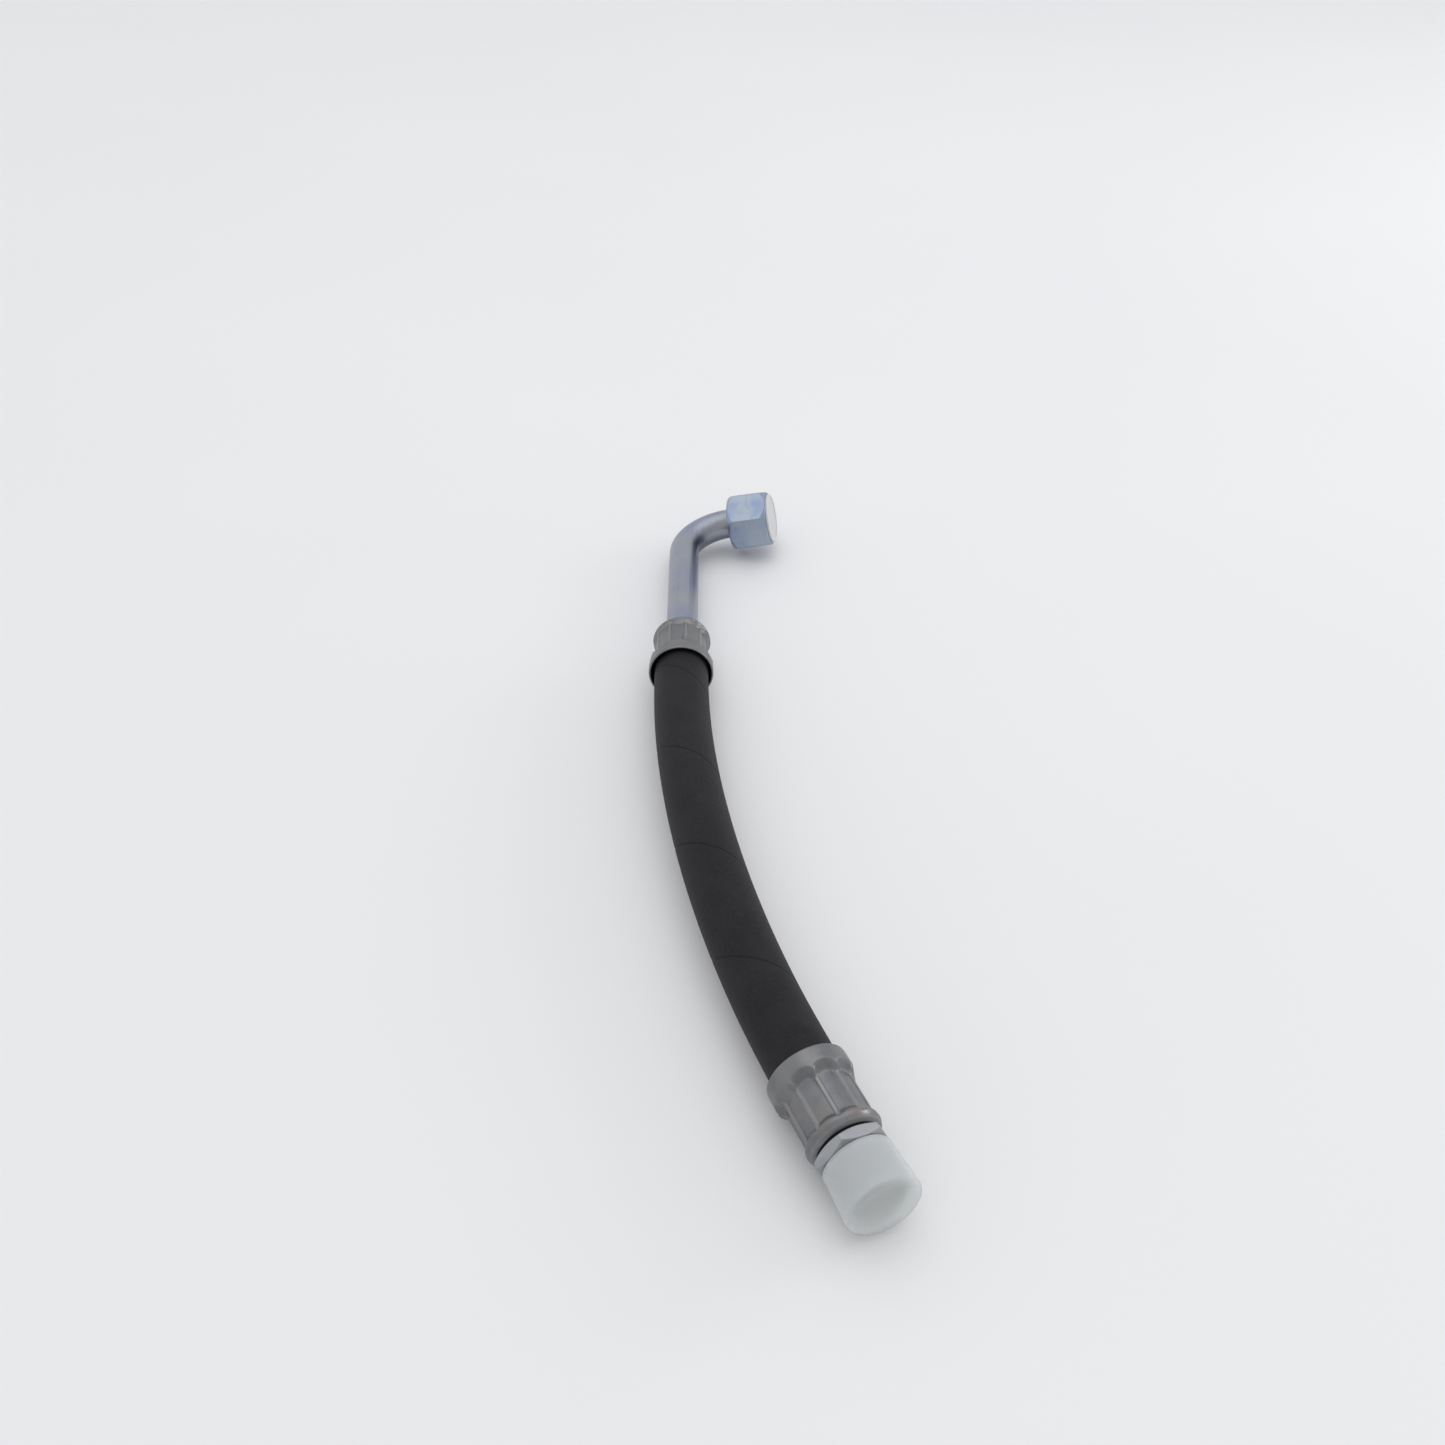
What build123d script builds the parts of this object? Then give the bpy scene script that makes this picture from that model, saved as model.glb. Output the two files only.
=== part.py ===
from build123d import *
import math
import os

# Short hydraulic hose assembly, in millimetres. The hose has two crimped ends: a straight
# male stud on the -Y end and a bent tube with a swivel nut on the other. The origin is the
# middle of the stud's open end. The stud's axis is Y, its outlet points to -Y, and Z is up.

# ---- hose: radii of the layers, from the bore out ----
BORE_R = 4.75
LINER_WALL = 1.9
BRAID_WALL = 0.65
MID_WALL = 0.4
COVER_WALL = 1.45
LINER_R = BORE_R + LINER_WALL
INNER_BRAID_R = LINER_R + BRAID_WALL
MID_R = INNER_BRAID_R + MID_WALL
OUTER_BRAID_R = MID_R + BRAID_WALL
HOSE_R = OUTER_BRAID_R + COVER_WALL

# ---- ferrule, measured from its bell mouth towards its outlet ----
MOUTH_GAP = 1.1            # open ring between the hose and the bell
BELL_WALL = 0.9
BELL_LENGTH = 4.6
BELL_TAPER = 3.4
THROAT_DEPTH = 4.8         # where the bare braid starts, past the end of the rubber cover
CRIMP_WALL = 1.35
CRIMP_END = 19.4
CRIMP_FLATS = 10
RIDGE_WIDTH = 1.1
RIDGE_HEIGHT = 0.35
STUD_CRIMP_TURN = 10.0     # of the first ridge, from the top, at the stud's ferrule
ELBOW_CRIMP_TURN = 22.3    # the same at the bent tube's ferrule
HOSE_DEPTH = 19.6          # how far the hose goes into the ferrule
COLLAR_WALL = 1.8
LIP_R = 10.8
LIP_LENGTH = 2.9
LIP_ROUND = 1.6
FERRULE_LENGTH = 24.0
BELL_R = HOSE_R + MOUTH_GAP + BELL_WALL
CRIMP_R = OUTER_BRAID_R + CRIMP_WALL

# ---- bent tube ----
TUBE_R = 6.0
TUBE_WALL = 1.5
SPIGOT_LENGTH = 6.0
TUBE_STRAIGHT = 64.5       # from the ferrule's end to the start of the bend
BEND_R = 18.0
BEND_ANGLE = 98.0
LEG_LENGTH = 3.0           # straight tube after the bend
LEG_LIFT = 12.5            # how far the leg is rolled up about the tube's axis

# ---- inserts: the barbed tails inside the hose ----
TAIL_BORE_R = 3.25
TAIL_START = 2.5
BARB_COUNT = 6
BARB_DEPTH = 0.4
COLLAR_STEP = 1.6          # how far the collar stands out from the neck
NECK_GAP = 0.2             # between the ferrule's end hole and the neck in it
NECK_R = TUBE_R            # one ferrule fits the stud's neck and the bent tube
COLLAR_R = NECK_R + COLLAR_STEP

# ---- stud end ----
THREAD_R = 9.0             # outside thread, 18 mm by 1.5
STUD_LENGTH = 12.0
RELIEF_LENGTH = 1.6
RELIEF_DEPTH = 1.1
THREAD_CHAMFER = 1.0
HEX_AF = 19.0
HEX_THICKNESS = 3.8
HEX_TURN = -6.0
HEX_CHAMFER = (30.0, 0.95)  # angle from the face, and circle as a share of the size across flats
HEX_GAP = 0.6              # between the hexagon and the ferrule's end
SOCKET_MOUTH_R = 7.0       # the 24-degree cone that seals on the other pipe
SOCKET_R = 6.05
SOCKET_LENGTH = 3.6
CONE_HALF_ANGLE = 12.0

# ---- cone head and O-ring, measured from the end of the tube ----
HEAD_NECK = 1.2
HEAD_STEP = 1.9            # how far the shoulder stands out from the tube
HEAD_LAND = 1.4
CONE_STEP = 0.9            # how far the cone's wide end is set in from the land
NOSE_INSET = 0.7           # how far the cone's nose lies inside the nut's front face
HEAD_SPIGOT_WALL = 0.5
SPIGOT_SHORT = 0.2         # how much the spigot stops short of the bend
RING_CORD_R = 0.75
RING_INSET = 1.25          # the middle of the ring's cord, in from the cone's wide end
RING_PLACE = 4.0           # from the wide end of the cone
HEAD_SHOULDER_R = TUBE_R + HEAD_STEP
HEAD_CONE_R = HEAD_SHOULDER_R - CONE_STEP
HEAD_BORE_R = TUBE_R - TUBE_WALL - HEAD_SPIGOT_WALL
HEAD_SPIGOT = LEG_LENGTH - SPIGOT_SHORT
CONE_START = HEAD_NECK + HEAD_STEP + HEAD_LAND
RING_R = HEAD_CONE_R - RING_INSET

# ---- swivel nut ----
NUT_AF = 22.0
NUT_LENGTH = 16.5
NUT_TURN = 30.0            # a corner points up and another down
NUT_GAP = 0.3              # between the end of the bend and the nut's back face
NUT_CLEARANCE = 0.25       # between the tube and the hole in the nut's back
SHOULDER_CLEARANCE = 0.2   # between the nut's inner shoulder and the head
HEAD_PLAY = 0.3            # between the head's shoulder and the nut's thread
NUT_ENTRY = 0.9
NUT_CHAMFER = (53.0, 0.97)  # angle from the face, and circle as a share of the size across flats
NUT_THREAD_R = HEAD_SHOULDER_R + HEAD_PLAY
NUT_BACK = NUT_GAP - LEG_LENGTH
NUT_FRONT = NUT_BACK + NUT_LENGTH

# ---- white plug in the nut ----
PLUG_FIT = 0.1
PLUG_STEM = 4.4
PLUG_STEM_WALL = 1.0
PLUG_OVERHANG = 1.9        # how far the flange stands out from the thread
PLUG_FLANGE = 1.0
PLUG_DISH = 0.3
PLUG_RIM = 1.1             # width of the raised rim round the dish
PLUG_FLANGE_R = NUT_THREAD_R + PLUG_OVERHANG
PLUG_DISH_R = PLUG_FLANGE_R - PLUG_RIM

# ---- milky cap over the stud's thread ----
CAP_FIT = 0.1
CAP_WALL = 0.75
CAP_FLARE = 0.85           # how much wider the closed end is than the rim
CAP_GAP = 0.2              # between the rim and the hexagon
CAP_EMPTY = 2.4            # room inside beyond the stud
CAP_END_WALL = 1.0
CAP_ROUND = 2.0

# ---- route of the hose, from its end inside the stud's ferrule to its other end ----
MOUTH_Y = STUD_LENGTH + HEX_THICKNESS + HEX_GAP + FERRULE_LENGTH
ROUTE = [
    (0.0, MOUTH_Y - HOSE_DEPTH, 0.0),
    (0.0, 50.8, 0.0),
    (1.9, 82.7, 0.6),
    (6.3, 115.4, 1.3),
    (12.9, 146.7, 1.7),
    (21.7, 177.5, 1.5),
    (32.5, 207.1, 0.7),
    (44.4, 234.9, -0.5),
]
FILLET_SHARE = 0.45


def turned(points):
    """A solid of revolution about Y from an outline of (radius, place along Y)."""
    outline = make_face(Polyline(*points, close=True))
    return revolve(outline, Axis.Y, 360)


def disc(radius, low, high):
    """A plain cylinder along Y."""
    return turned([(0, low), (radius, low), (radius, high), (0, high)])


def hexagon(across_flats, low, high, turn, chamfer):
    """A hexagonal bar along Y with a corner towards X, then turned; both ends chamfered."""
    angle, circle = chamfer
    corner_r = across_flats / math.sqrt(3)
    plane = Plane(origin=(0, low, 0), x_dir=(1, 0, 0), z_dir=(0, 1, 0))
    bar = extrude(plane * RegularPolygon(corner_r, 6), high - low)
    flat_r = across_flats / 2 * circle
    rise = (corner_r - flat_r) * math.tan(math.radians(angle))
    middle = (low + high) / 2
    limit = turned([
        (0, low), (flat_r, low), (corner_r, low + rise), (corner_r + 1, middle),
        (corner_r, high - rise), (flat_r, high), (0, high),
    ])
    return Rot(0, turn, 0) * (bar & limit)


def route_radii():
    """The arc at each inner point of the route."""
    points = [Vector(*p) for p in ROUTE]
    radii = []
    for before, here, after in zip(points, points[1:], points[2:]):
        first, second = here - before, after - here
        half_turn = math.radians(first.get_angle(second)) / 2
        radii.append(FILLET_SHARE * min(first.length, second.length) / math.tan(half_turn))
    return radii


def hose_path(shorter):
    """The hose's centre line, with the same length cut from each end."""
    points = [Vector(*p) for p in ROUTE]
    points[0] = points[0] + (points[1] - points[0]).normalized() * shorter
    points[-1] = points[-1] + (points[-2] - points[-1]).normalized() * shorter
    return FilletPolyline(*points, radius=route_radii())


def hose_layer(inner_r, outer_r, shorter=0.0):
    path = hose_path(shorter)
    section = Plane(origin=path @ 0, z_dir=path % 0) * (Circle(outer_r) - Circle(inner_r))
    solid = sweep(section, path=path)
    area = math.pi * (outer_r ** 2 - inner_r ** 2)
    print(f"layer {inner_r:.2f} to {outer_r:.2f}: length {path.length:.1f},",
          f"volume / (section x length) = {solid.volume / (area * path.length):.4f}")
    return solid


def ferrule(crimp_turn):
    """Crimped steel sleeve, from its bell mouth at 0 to its rolled end."""
    lip_start = FERRULE_LENGTH - LIP_LENGTH
    cavity_r = HOSE_R + MOUTH_GAP
    flange = HOSE_DEPTH + COLLAR_WALL
    hole_r = NECK_R + NECK_GAP
    body = turned([
        (cavity_r, 0), (BELL_R, 0), (BELL_R, BELL_LENGTH),
        (CRIMP_R, BELL_LENGTH + BELL_TAPER), (CRIMP_R, CRIMP_END), (LIP_R, lip_start),
        (LIP_R, FERRULE_LENGTH - LIP_ROUND), (LIP_R - LIP_ROUND, FERRULE_LENGTH),
        (hole_r, FERRULE_LENGTH), (hole_r, flange), (COLLAR_R, flange), (COLLAR_R, HOSE_DEPTH),
        (OUTER_BRAID_R, HOSE_DEPTH), (OUTER_BRAID_R, THROAT_DEPTH), (HOSE_R, THROAT_DEPTH),
        (cavity_r, THROAT_DEPTH - MOUTH_GAP),
    ])
    ridge_low, ridge_high = BELL_LENGTH + BELL_TAPER - 1, CRIMP_END
    for number in range(CRIMP_FLATS):
        bar = Box(RIDGE_WIDTH, ridge_high - ridge_low, CRIMP_WALL)
        place = Pos(0, (ridge_low + ridge_high) / 2, CRIMP_R + RIDGE_HEIGHT - CRIMP_WALL / 2)
        body += Rot(0, crimp_turn + number * 360 / CRIMP_FLATS, 0) * place * bar
    return body


def tail_outline():
    """The outside of a barbed tail, from its nose to the collar that stops the hose."""
    pitch = (HOSE_DEPTH - TAIL_START) / BARB_COUNT
    points = []
    for number in range(BARB_COUNT):
        low = TAIL_START + number * pitch
        points += [(BORE_R - BARB_DEPTH, low), (BORE_R, low + pitch)]
    return points + [(COLLAR_R, HOSE_DEPTH), (COLLAR_R, HOSE_DEPTH + COLLAR_WALL)]


def stud_fitting():
    """Tail, collar, neck, hexagon and threaded stud in one piece, from the bell mouth out."""
    hex_start = FERRULE_LENGTH + HEX_GAP
    stud_start = hex_start + HEX_THICKNESS
    end = stud_start + STUD_LENGTH
    cone_length = (SOCKET_MOUTH_R - SOCKET_R) / math.tan(math.radians(CONE_HALF_ANGLE))
    socket_end = end - cone_length - SOCKET_LENGTH
    relief_r = THREAD_R - RELIEF_DEPTH
    body = turned(tail_outline() + [
        (NECK_R, HOSE_DEPTH + COLLAR_WALL), (NECK_R, hex_start + 1), (relief_r, hex_start + 1),
        (relief_r, stud_start + RELIEF_LENGTH - RELIEF_DEPTH / 2),
        (THREAD_R, stud_start + RELIEF_LENGTH + RELIEF_DEPTH / 2),
        (THREAD_R, end - THREAD_CHAMFER), (THREAD_R - THREAD_CHAMFER, end), (0, end), (0, TAIL_START),
    ])
    body += hexagon(HEX_AF, hex_start, stud_start, HEX_TURN, HEX_CHAMFER)
    body -= disc(TAIL_BORE_R, TAIL_START, end)
    body -= disc(SOCKET_R, socket_end, end)
    body -= turned([(0, end - cone_length), (SOCKET_R, end - cone_length), (SOCKET_MOUTH_R, end), (0, end)])
    return body


def elbow_insert():
    """Barbed tail, collar and the spigot that is brazed into the bent tube."""
    start, stop = HOSE_DEPTH + COLLAR_WALL, HOSE_DEPTH + COLLAR_WALL + SPIGOT_LENGTH
    spigot_r = TUBE_R - TUBE_WALL
    return turned(tail_outline() + [
        (spigot_r, start), (spigot_r, stop), (TAIL_BORE_R, stop), (TAIL_BORE_R, TAIL_START),
    ])


def elbow_tube_path():
    start = HOSE_DEPTH + COLLAR_WALL
    bend_start = FERRULE_LENGTH + TUBE_STRAIGHT
    turn = math.radians(BEND_ANGLE)
    run = Line((0, start, 0), (0, bend_start, 0))
    bend_end = (BEND_R * (1 - math.cos(turn)), bend_start + BEND_R * math.sin(turn), 0)
    way = Vector(math.sin(turn), math.cos(turn), 0)
    bend = TangentArc((0, bend_start, 0), bend_end, tangent=(0, 1, 0))
    leg = Line(bend_end, Vector(*bend_end) + way * LEG_LENGTH)
    return Wire([run, bend, leg])


def elbow_tube():
    path = elbow_tube_path()
    plane = Plane(origin=path @ 0, z_dir=path % 0)
    return sweep(plane * (Circle(TUBE_R) - Circle(TUBE_R - TUBE_WALL)), path=path)


def leg_place():
    """Where the tube ends: local Y runs on out of the leg, and local Z stays as it was."""
    path = elbow_tube_path()
    return Pos(path @ 1) * Rot(0, 0, -BEND_ANGLE)


def cone_head():
    """Cone that seals in the other pipe's fitting, from the tube's end at 0."""
    nose = NUT_FRONT - NOSE_INSET
    slope = math.tan(math.radians(CONE_HALF_ANGLE))
    nose_r = HEAD_CONE_R - (nose - CONE_START) * slope
    spigot_r = TUBE_R - TUBE_WALL
    body = turned([
        (HEAD_BORE_R, -HEAD_SPIGOT), (spigot_r, -HEAD_SPIGOT), (spigot_r, 0), (TUBE_R, 0),
        (TUBE_R, HEAD_NECK), (HEAD_SHOULDER_R, HEAD_NECK + HEAD_STEP), (HEAD_SHOULDER_R, CONE_START),
        (HEAD_CONE_R, CONE_START), (nose_r, nose), (HEAD_BORE_R, nose),
    ])
    ring = CONE_START + RING_PLACE
    return body - turned([
        (RING_R - RING_CORD_R, ring - RING_CORD_R), (HEAD_CONE_R, ring - RING_CORD_R),
        (HEAD_CONE_R, ring + RING_CORD_R), (RING_R - RING_CORD_R, ring + RING_CORD_R),
    ])


def cone_o_ring():
    section = Pos(RING_R, CONE_START + RING_PLACE) * Circle(RING_CORD_R)
    return revolve(section, Axis.Y, 360)


def swivel_nut():
    """Hexagon nut with a shoulder that pulls on the cone head."""
    hole_r = TUBE_R + NUT_CLEARANCE
    shoulder_start = HEAD_NECK - SHOULDER_CLEARANCE + NUT_CLEARANCE
    shoulder_end = shoulder_start + NUT_THREAD_R - hole_r
    inside = turned([
        (0, NUT_BACK), (hole_r, NUT_BACK), (hole_r, shoulder_start), (NUT_THREAD_R, shoulder_end),
        (NUT_THREAD_R, NUT_FRONT - NUT_ENTRY), (NUT_THREAD_R + NUT_ENTRY, NUT_FRONT), (0, NUT_FRONT),
    ])
    return hexagon(NUT_AF, NUT_BACK, NUT_FRONT, NUT_TURN, NUT_CHAMFER) - inside


def nut_plug():
    """Push-in plug: a dished flange on the nut's front face and a hollow stem in its thread."""
    stem_r = NUT_THREAD_R - PLUG_FIT
    top = NUT_FRONT + PLUG_FLANGE
    return turned([
        (stem_r - PLUG_STEM_WALL, NUT_FRONT - PLUG_STEM), (stem_r, NUT_FRONT - PLUG_STEM),
        (stem_r, NUT_FRONT), (PLUG_FLANGE_R, NUT_FRONT), (PLUG_FLANGE_R, top), (PLUG_DISH_R, top),
        (PLUG_DISH_R, top - PLUG_DISH), (0, top - PLUG_DISH), (0, NUT_FRONT - PLUG_DISH),
        (stem_r - PLUG_STEM_WALL, NUT_FRONT - PLUG_DISH),
    ])


def thread_cap():
    """Closed cup over the stud's thread, a little wider at its closed end."""
    rim = FERRULE_LENGTH + HEX_GAP + HEX_THICKNESS + CAP_GAP
    inner_end = FERRULE_LENGTH + HEX_GAP + HEX_THICKNESS + STUD_LENGTH + CAP_EMPTY
    end = inner_end + CAP_END_WALL
    rim_r = THREAD_R + CAP_FIT
    far_r = rim_r + CAP_FLARE
    inner_round = CAP_ROUND - CAP_WALL
    outer = turned([(0, rim), (rim_r + CAP_WALL, rim), (far_r + CAP_WALL, end), (0, end)])
    outer = fillet(outer.edges().group_by(Axis.Y)[-1], CAP_ROUND)
    inner = turned([(0, rim), (rim_r, rim), (far_r, inner_end), (0, inner_end)])
    inner = fillet(inner.edges().group_by(Axis.Y)[-1], inner_round)
    return outer - inner


def end_place(inside_end, next_point, lift=0.0):
    """Frame of a fitting: origin at the bell mouth, Y along the hose's end and out of it."""
    out = (Vector(*inside_end) - Vector(*next_point)).normalized()
    mouth = Vector(*inside_end) - out * HOSE_DEPTH
    right = out.cross(Vector(0, 0, 1)).normalized()
    above = right.cross(out)
    roll = math.radians(lift)
    leg = right * math.cos(roll) + above * math.sin(roll)
    return Location(Plane(origin=mouth, x_dir=leg, z_dir=leg.cross(out)))


def build():
    skived = HOSE_DEPTH - THROAT_DEPTH
    stud_end = end_place(ROUTE[0], ROUTE[1])
    elbow_end = end_place(ROUTE[-1], ROUTE[-2], LEG_LIFT)
    leg_end = elbow_end * leg_place()
    return {
        "hose_liner": hose_layer(BORE_R, LINER_R),
        "hose_inner_braid": hose_layer(LINER_R, INNER_BRAID_R),
        "hose_mid_layer": hose_layer(INNER_BRAID_R, MID_R),
        "hose_outer_braid": hose_layer(MID_R, OUTER_BRAID_R),
        "hose_cover": hose_layer(OUTER_BRAID_R, HOSE_R, skived),
        "stud_ferrule": stud_end * ferrule(STUD_CRIMP_TURN),
        "stud_fitting": stud_end * stud_fitting(),
        "thread_cap": stud_end * thread_cap(),
        "elbow_ferrule": elbow_end * ferrule(ELBOW_CRIMP_TURN),
        "elbow_insert": elbow_end * elbow_insert(),
        "elbow_tube": elbow_end * elbow_tube(),
        "cone_head": leg_end * cone_head(),
        "cone_o_ring": leg_end * cone_o_ring(),
        "swivel_nut": leg_end * swivel_nut(),
        "nut_plug": leg_end * nut_plug(),
    }


def main():
    os.makedirs("parts", exist_ok=True)
    print("arc radii of the route:", [round(r) for r in route_radii()])
    for node, shape in build().items():
        export_step(shape, f"parts/{node}.step")
    leg_end = end_place(ROUTE[-1], ROUTE[-2], LEG_LIFT) * leg_place()
    tip = leg_end * Pos(0, 1, 0)
    print("end of the bent tube:", leg_end.position, "leg direction:", tip.position - leg_end.position)


main()
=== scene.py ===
# %% [markdown]
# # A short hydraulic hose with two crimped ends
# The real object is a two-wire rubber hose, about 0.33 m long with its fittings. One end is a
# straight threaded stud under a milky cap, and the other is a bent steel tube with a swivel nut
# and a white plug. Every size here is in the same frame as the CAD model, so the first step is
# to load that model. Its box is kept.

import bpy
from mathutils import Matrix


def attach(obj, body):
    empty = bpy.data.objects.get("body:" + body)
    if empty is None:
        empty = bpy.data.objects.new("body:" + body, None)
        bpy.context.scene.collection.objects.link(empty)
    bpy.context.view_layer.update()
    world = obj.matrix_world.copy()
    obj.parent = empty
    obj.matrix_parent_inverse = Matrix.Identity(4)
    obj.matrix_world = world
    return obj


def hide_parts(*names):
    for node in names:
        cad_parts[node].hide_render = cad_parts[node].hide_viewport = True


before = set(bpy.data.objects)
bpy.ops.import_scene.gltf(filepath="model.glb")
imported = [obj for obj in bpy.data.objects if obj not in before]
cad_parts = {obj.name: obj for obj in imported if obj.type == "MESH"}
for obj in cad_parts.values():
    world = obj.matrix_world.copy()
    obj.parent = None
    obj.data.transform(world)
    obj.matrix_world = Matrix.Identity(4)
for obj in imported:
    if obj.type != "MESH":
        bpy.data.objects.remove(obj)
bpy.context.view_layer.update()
print("CAD nodes:", sorted(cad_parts))

# %% [markdown]
# ## Camera
# The camera stands above the open end of the stud and looks down along the hose. A camera
# could be aimed with a Track To constraint, but three plain turns are easier to read: first the
# roll about its own axis, then the tilt, then the turn about the vertical.

# %% The camera
import math

import bpy
import numpy as np
from mathutils import Matrix, Vector

MM = 0.001
CAMERA_PLACE = Vector((-112.2, -155.7, 301.2)) * MM
CAMERA_TURN = math.radians(-23.96)
CAMERA_TILT = math.radians(90 - 38.91)
CAMERA_ROLL = math.radians(0.37)

collection = bpy.context.scene.collection
camera_data = bpy.data.cameras.new("camera")
camera_data.sensor_width = 36.0
camera_data.lens = 34.17
camera = bpy.data.objects.new("camera", camera_data)
camera.matrix_world = (
    Matrix.Translation(CAMERA_PLACE)
    @ Matrix.Rotation(CAMERA_TURN, 4, "Z")
    @ Matrix.Rotation(CAMERA_TILT, 4, "X")
    @ Matrix.Rotation(CAMERA_ROLL, 4, "Z")
)
collection.objects.link(camera)
bpy.context.scene.camera = camera
print("camera at", [round(c, 4) for c in CAMERA_PLACE], "lens", camera_data.lens, "mm")

# %% [markdown]
# ## The hose's line
# The hose is stiff, so it keeps one gentle curve from the straight stud to the bent tube. The
# line is a NURBS spline with the route as its control points, because such a spline turns
# smoothly without passing through each point. A curve with no bevel turns into a plain line of
# vertices, and the rubber follows those.

# %% Read the line from a spline
ROUTE = [
    (0.0, 0.0208, 0.0),
    (0.0, 0.0508, 0.0),
    (0.0019, 0.0827, 0.0006),
    (0.0063, 0.1154, 0.0013),
    (0.0129, 0.1467, 0.0017),
    (0.0217, 0.1775, 0.0015),
    (0.0325, 0.2071, 0.0007),
    (0.0444, 0.2349, -0.0005),
]
route = bpy.data.curves.new("hose_route", "CURVE")
route.dimensions = "3D"
route.resolution_u = 64
spline = route.splines.new("NURBS")
spline.points.add(len(ROUTE) - 1)
for point, place in zip(spline.points, ROUTE):
    point.co = (*place, 1.0)
spline.order_u = 3
spline.use_endpoint_u = True
route_object = bpy.data.objects.new("hose_route", route)
line_mesh = bpy.data.meshes.new_from_object(route_object)
line = np.array([tuple(vertex.co) for vertex in line_mesh.vertices])
line_length = np.append(0.0, np.cumsum(np.linalg.norm(np.diff(line, axis=0), axis=1)))
bpy.data.meshes.remove(line_mesh)
bpy.data.objects.remove(route_object)
print("hose cut to", round(line_length[-1] / MM, 1), "mm, read as", len(line), "points")

# %% [markdown]
# ## From rows of points to a mesh
# Everything on this object is long and round, or nearly so. Lathes, sweeps and hexagons are all
# rows of points with faces between them, so one helper skins rows. Rows that close on
# themselves make a ring with a hole, and open rows are closed with a point in the middle of
# each end. It also lays out UVs: around, and along in metres. Shading is smooth everywhere,
# because each edge gets real rows of points beside it.

# %% Skin rows of points
import bmesh


def skin(name, rows, loop=True, along=None):
    rows = np.asarray(rows, float)
    count, around = rows.shape[:2]
    points = rows.reshape(-1, 3)
    if along is None:
        steps = np.linalg.norm(np.diff(rows, axis=0), axis=2).mean(axis=1)
        along = np.append(0.0, np.cumsum(steps))
    along = np.asarray(along, float)
    row = np.arange(count if loop else count - 1)[:, None]
    column = np.arange(around)[None, :]
    next_row = (row + 1) % count
    next_column = (column + 1) % around
    corners = [
        row * around + column,
        row * around + next_column,
        next_row * around + next_column,
        next_row * around + column,
    ]
    faces = np.stack(corners, axis=-1).reshape(-1, 4).tolist()
    left = np.broadcast_to(column / around, corners[0].shape)
    right = left + 1 / around
    low = np.broadcast_to(along[row], corners[0].shape)
    high = np.broadcast_to(along[next_row], corners[0].shape)
    spread = np.stack([left, low, right, low, right, high, left, high], axis=-1).ravel()
    if not loop:
        points = np.vstack([points, rows[0].mean(axis=0), rows[-1].mean(axis=0)])
        for end, start in enumerate((0, (count - 1) * around)):
            middle = count * around + end
            height = along[-end]
            for j in range(around):
                faces.append([start + j, start + (j + 1) % around, middle])
                fan = [j / around, height, (j + 1) / around, height, (j + 0.5) / around, height]
                spread = np.append(spread, fan)
    mesh = bpy.data.meshes.new(name)
    mesh.from_pydata(points.tolist(), [], faces)
    mesh.uv_layers.new(name="around_along").data.foreach_set("uv", spread)
    shape = bmesh.new()
    shape.from_mesh(mesh)
    bmesh.ops.recalc_face_normals(shape, faces=shape.faces)
    shape.to_mesh(mesh)
    shape.free()
    mesh.shade_smooth()
    piece = bpy.data.objects.new(name, mesh)
    collection.objects.link(piece)
    return piece


# %% [markdown]
# ## The rubber cover
# Rubber hose is cured inside a tight wrap of fabric tape. The tape's edge leaves one shallow
# spiral line on the finished cover, a turn every 46 mm or so. A curve with a round bevel would
# give a plain tube, so the cover is skinned from rings, which lets the spiral be pressed into
# the shape. Its ends are cut square, a few millimetres inside the two ferrules.

# %% The cover
HOSE_R = 9.8
BRAID_R = 8.35
CUT_BACK = 14.8
SEAM_PITCH = 45.8
SEAM_START = 0.416
SEAM_DEPTH = 0.09
RING_STEP = 0.4
HOSE_AROUND = 128

length = line_length[-1] / MM
stations = np.linspace(CUT_BACK, length - CUT_BACK, int((length - 2 * CUT_BACK) / RING_STEP)) * MM
centres = np.stack([np.interp(stations, line_length, line[:, k]) for k in range(3)], axis=1)
heading = np.gradient(centres, axis=0)
heading /= np.linalg.norm(heading, axis=1)[:, None]
side = np.cross(heading, (0, 0, 1))
side /= np.linalg.norm(side, axis=1)[:, None]
over = np.cross(side, heading)
hose_angle = np.arange(HOSE_AROUND) * 2 * math.pi / HOSE_AROUND


def ring(k, radius):
    spoke = np.outer(np.cos(hose_angle), side[k]) + np.outer(np.sin(hose_angle), over[k])
    return centres[k] + spoke * np.reshape(radius, (-1, 1)) * MM


cover_along = stations - stations[0]
outside = []
for k, distance in enumerate(cover_along):
    turns = distance / MM / SEAM_PITCH - hose_angle / (2 * math.pi) + SEAM_START
    from_seam = (turns - np.round(turns)) * SEAM_PITCH
    edge_round = 0.25 * max(0.0, 1 - min(k, len(cover_along) - 1 - k) / 1.5)
    outside.append(ring(k, HOSE_R - edge_round - SEAM_DEPTH * np.exp(-((from_seam / 0.45) ** 2))))
inside_rings = list(range(len(centres) - 1, -1, -12)) + [0]
inside = [ring(k, BRAID_R + 0.05) for k in inside_rings]
cover_v = np.append(cover_along, cover_along[inside_rings])
cover = skin("hose_rubber_cover", outside + inside, along=cover_v)

# %% [markdown]
# The hose leaves the object at the mouth of the stud's ferrule and goes back into it at the
# bent tube's ferrule. It is stiff, and it lies loose on the floor. The five hose layers are CAD
# nodes. Only the cover is seen, so only the cover is replaced.

# %% Where the ends are
HOSE_DEPTH = 19.6
LEG_LIFT = 12.5


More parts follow.
